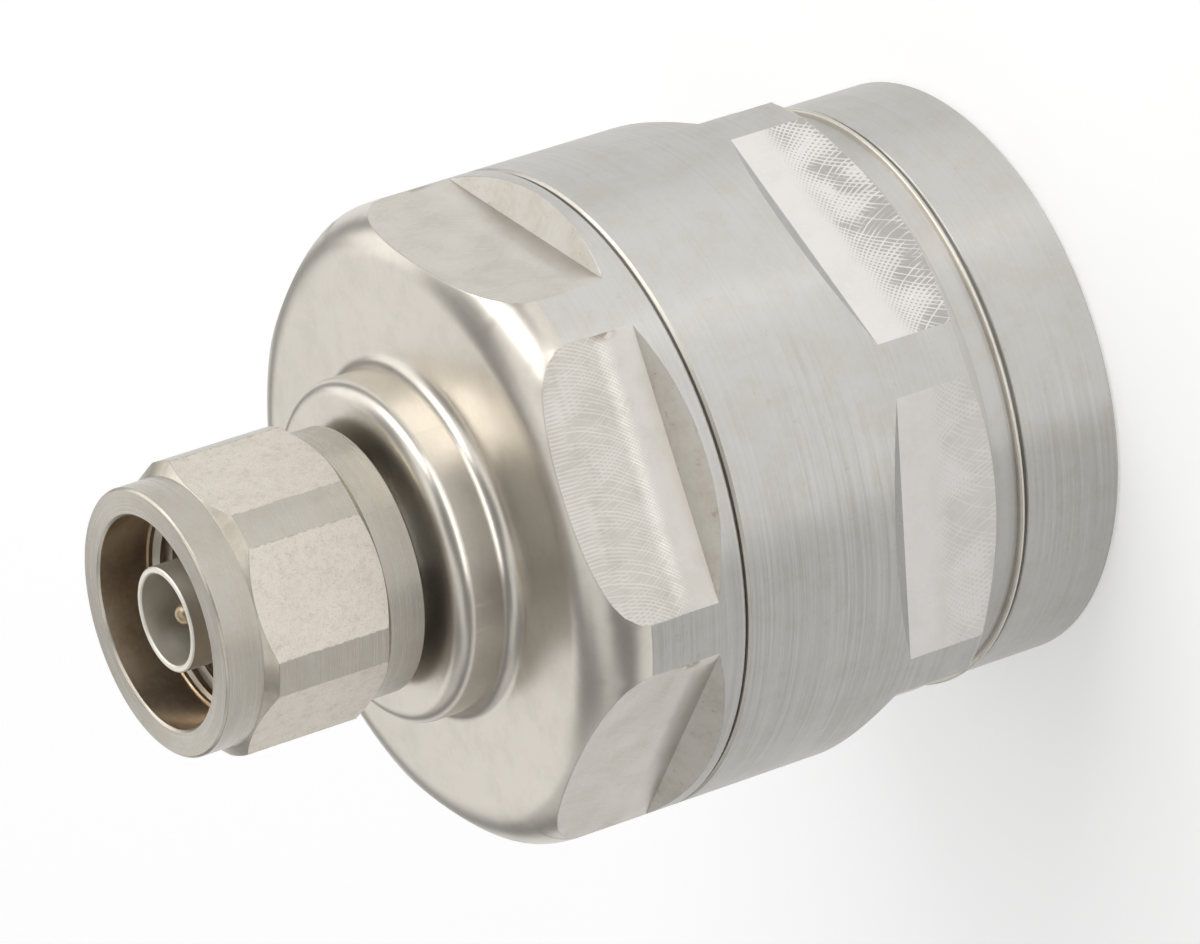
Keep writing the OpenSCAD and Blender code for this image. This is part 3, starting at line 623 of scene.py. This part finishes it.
def coupling_nut_loop(angle):
    tag = "flat" if on_flat(angle, NUT_HALF) else ""
    r_hex = flat_radius(angle, NUT_FLAT_R, NUT_CORNER_R)
    rise = (r_hex - NUT_ROUND_R) * math.tan(math.radians(NUT_CHAMFER))
    return [
        # Rear end
        (7.0, 53.35, 0, ""), (10.05, 53.35, 0.05, ""), (NUT_ROUND_R, 53.53, 0.05, ""),
        # Flat or corner, between its two chamfers
        (NUT_ROUND_R, 56.4, 0.04, "cone"), (r_hex, 56.4 + rise, 0.05, tag),
        (r_hex, 67.15 - rise, 0.05, "cone"),
        # Front end and rim
        (NUT_ROUND_R, 67.15, 0.04, ""), (NUT_ROUND_R, 70.07, 0.06, "cone"), (10.05, 70.25, 0.06, ""),
        (8.28, 70.25, 0.06, "cone"),
        # Mouth and thread
        (8.1, 70.07, 0.06, "mouth"), (8.1, 66.05, 0, "mouth"), (7.94, 66.05, 0, "mouth"),
        (7.94, 60.6, 0, "mouth"), (8.1, 60.6, 0, "mouth"), (8.1, 55.85, 0, "mouth"), (7.0, 55.85, 0, ""),
    ]


# ---------------------------------------------------------------- pieces

def dress(node, loop, half, body, finishes):
    """The turned shell that stands for a CAD node. finishes gives the material of each tag in its loop."""
    obj = turned(node + "_shell", loop, angles_for_flats(half), FLAT_PHASE[node], tuple(finishes))
    for material in finishes.values():
        obj.data.materials.append(material)
    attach(obj, body)
    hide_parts(node)


dress("rear_nut", rear_nut_loop, BODY_HALF, "rear",
      {"": body_metal, "flat": rear_flat_metal, "wall": rear_wall_shaded_metal, "edge": edge_metal})
dress("front_body", front_body_loop, BODY_HALF, "front",
      {"": body_metal, "flat": front_flat_metal, "wall": front_wall_metal, "edge": edge_metal,
       "hub": hub_metal})
dress("coupling_nut", coupling_nut_loop, NUT_HALF, "coupling",
      {"": nut_metal, "flat": nut_flat_metal, "cone": nut_cone_metal, "mouth": nut_mouth_shaded_metal})

# The CAD has plain cylinders where the threads are
for obj, material, body, slot in (
    (thread("rear_nut_thread", 21.92, 21.08, 22.6, 30.8, BODY_PITCH), body_metal, "rear", "plated_body"),
    (thread("front_body_thread", 20.97, 21.83, 23.35, 31.0, BODY_PITCH), body_metal, "front", "plated_body"),
    (thread("coupling_nut_thread", 7.94, 7.42, 60.9, 65.9, COUPLING_PITCH), nut_cone_metal, "coupling",
     "plated_nut"),
):
    obj.data.materials.append(material)
    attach(obj, body)

FINISH = {
    "plated_contact": contact_metal, "spring_bronze": bronze, "gold_plate": shaded_gold, "wire_steel": wire,
    "white_plastic": white_plastic, "black_rubber": black_rubber, "red_rubber": red_rubber,
    "plated_body": body_metal, "plated_nut": nut_metal,
}
for entry in frame["record"]["subparts"]:
    obj = frame["nodes"][entry["node"]]
    obj.data.materials.clear()
    obj.data.materials.append(FINISH[entry["material_slot"]])


# ---------------------------------------------------------------- studio

FLOOR_COLOUR = (0.85, 0.85, 0.85)
FLOOR_GLOW = 0.30                     # whitens the floor where it is seen or mirrored
WORLD_COLOUR = (0.24, 0.24, 0.24)
CAMERA_AZIMUTH = -92.2
LAMP_AIM = Vector((0, 0, 0.035))      # the plug's middle
LAMP_DISTANCE = 0.8


def floor_material():
    """A pale diffuse floor that the camera and every mirror-like surface see a little whiter."""
    n = Nodes("floor_finish")
    path = n.new("LightPath")
    seen = n.math("MAXIMUM", path.outputs["Is Camera Ray"],
                  n.math("MAXIMUM", path.outputs["Is Glossy Ray"], path.outputs["Is Transmission Ray"]))
    diffuse = n.new("BsdfDiffuse", {"Color": rgba(FLOOR_COLOUR)})
    white = n.new("Emission", {"Color": rgba((1, 1, 1)), "Strength": FLOOR_GLOW})
    both = n.new("AddShader", {0: diffuse, 1: white})
    n.put(n.out.inputs[0], n.new("MixShader", {0: seen, 1: diffuse, 2: both}))
    return n.material


def panel(name, turn, height, width, tall, power):
    """A soft rectangular lamp. turn is its azimuth from the camera's, height its elevation, in degrees."""
    a, e = math.radians(CAMERA_AZIMUTH + turn), math.radians(height)
    outward = Vector((math.cos(a) * math.cos(e), math.sin(a) * math.cos(e), math.sin(e)))
    place = LAMP_AIM + LAMP_DISTANCE * outward
    lamp = bpy.data.lights.new(name, "AREA")
    lamp.shape = "RECTANGLE"
    lamp.size, lamp.size_y = width, tall
    lamp.energy = power
    obj = bpy.data.objects.new(name, lamp)
    obj.location = place
    obj.rotation_euler = (LAMP_AIM - place).to_track_quat("-Z", "Y").to_euler()
    bpy.context.scene.collection.objects.link(obj)


bpy.ops.mesh.primitive_plane_add(size=8)
floor = bpy.context.object
floor.name = "floor"
floor.data.materials.append(floor_material())

# Rolled, so that the standing plug lies in the picture as it does in the photograph
camera = bpy.data.objects.new("camera", bpy.data.cameras.new("camera"))
bpy.context.scene.collection.objects.link(camera)
camera.location = (-0.02182, -0.56799, 0.33808)
camera.rotation_euler = [math.radians(a) for a in (-29.788, 56.837, -126.613)]
camera.data.lens = 259.55
camera.data.sensor_width = 36
camera.data.clip_start = 0.01
bpy.context.scene.camera = camera

panel("right_bank", turn=68, height=30, width=0.72, tall=0.34, power=2.7)
panel("right_back", turn=124, height=30, width=0.75, tall=0.40, power=1.25)
panel("face_light", turn=180, height=32, width=0.70, tall=0.40, power=0.8)
panel("left_back", turn=-130, height=32, width=0.60, tall=0.40, power=0.35)
panel("left_bank", turn=-85, height=32, width=0.40, tall=0.35, power=0.2)
panel("high_left", turn=-60, height=58, width=0.50, tall=0.40, power=0.4)
panel("high_right", turn=60, height=60, width=0.50, tall=0.40, power=0.5)
panel("overhead", turn=0, height=90, width=0.50, tall=0.50, power=0.6)
panel("front_low", turn=6, height=6, width=1.30, tall=0.20, power=2.5)

world = bpy.data.worlds.new("studio")
bpy.context.scene.world = world
world.use_nodes = True
background = world.node_tree.nodes["Background"]
background.inputs["Color"].default_value = rgba(WORLD_COLOUR)
background.inputs["Strength"].default_value = 1.0

bpy.context.scene.view_settings.view_transform = "Standard"
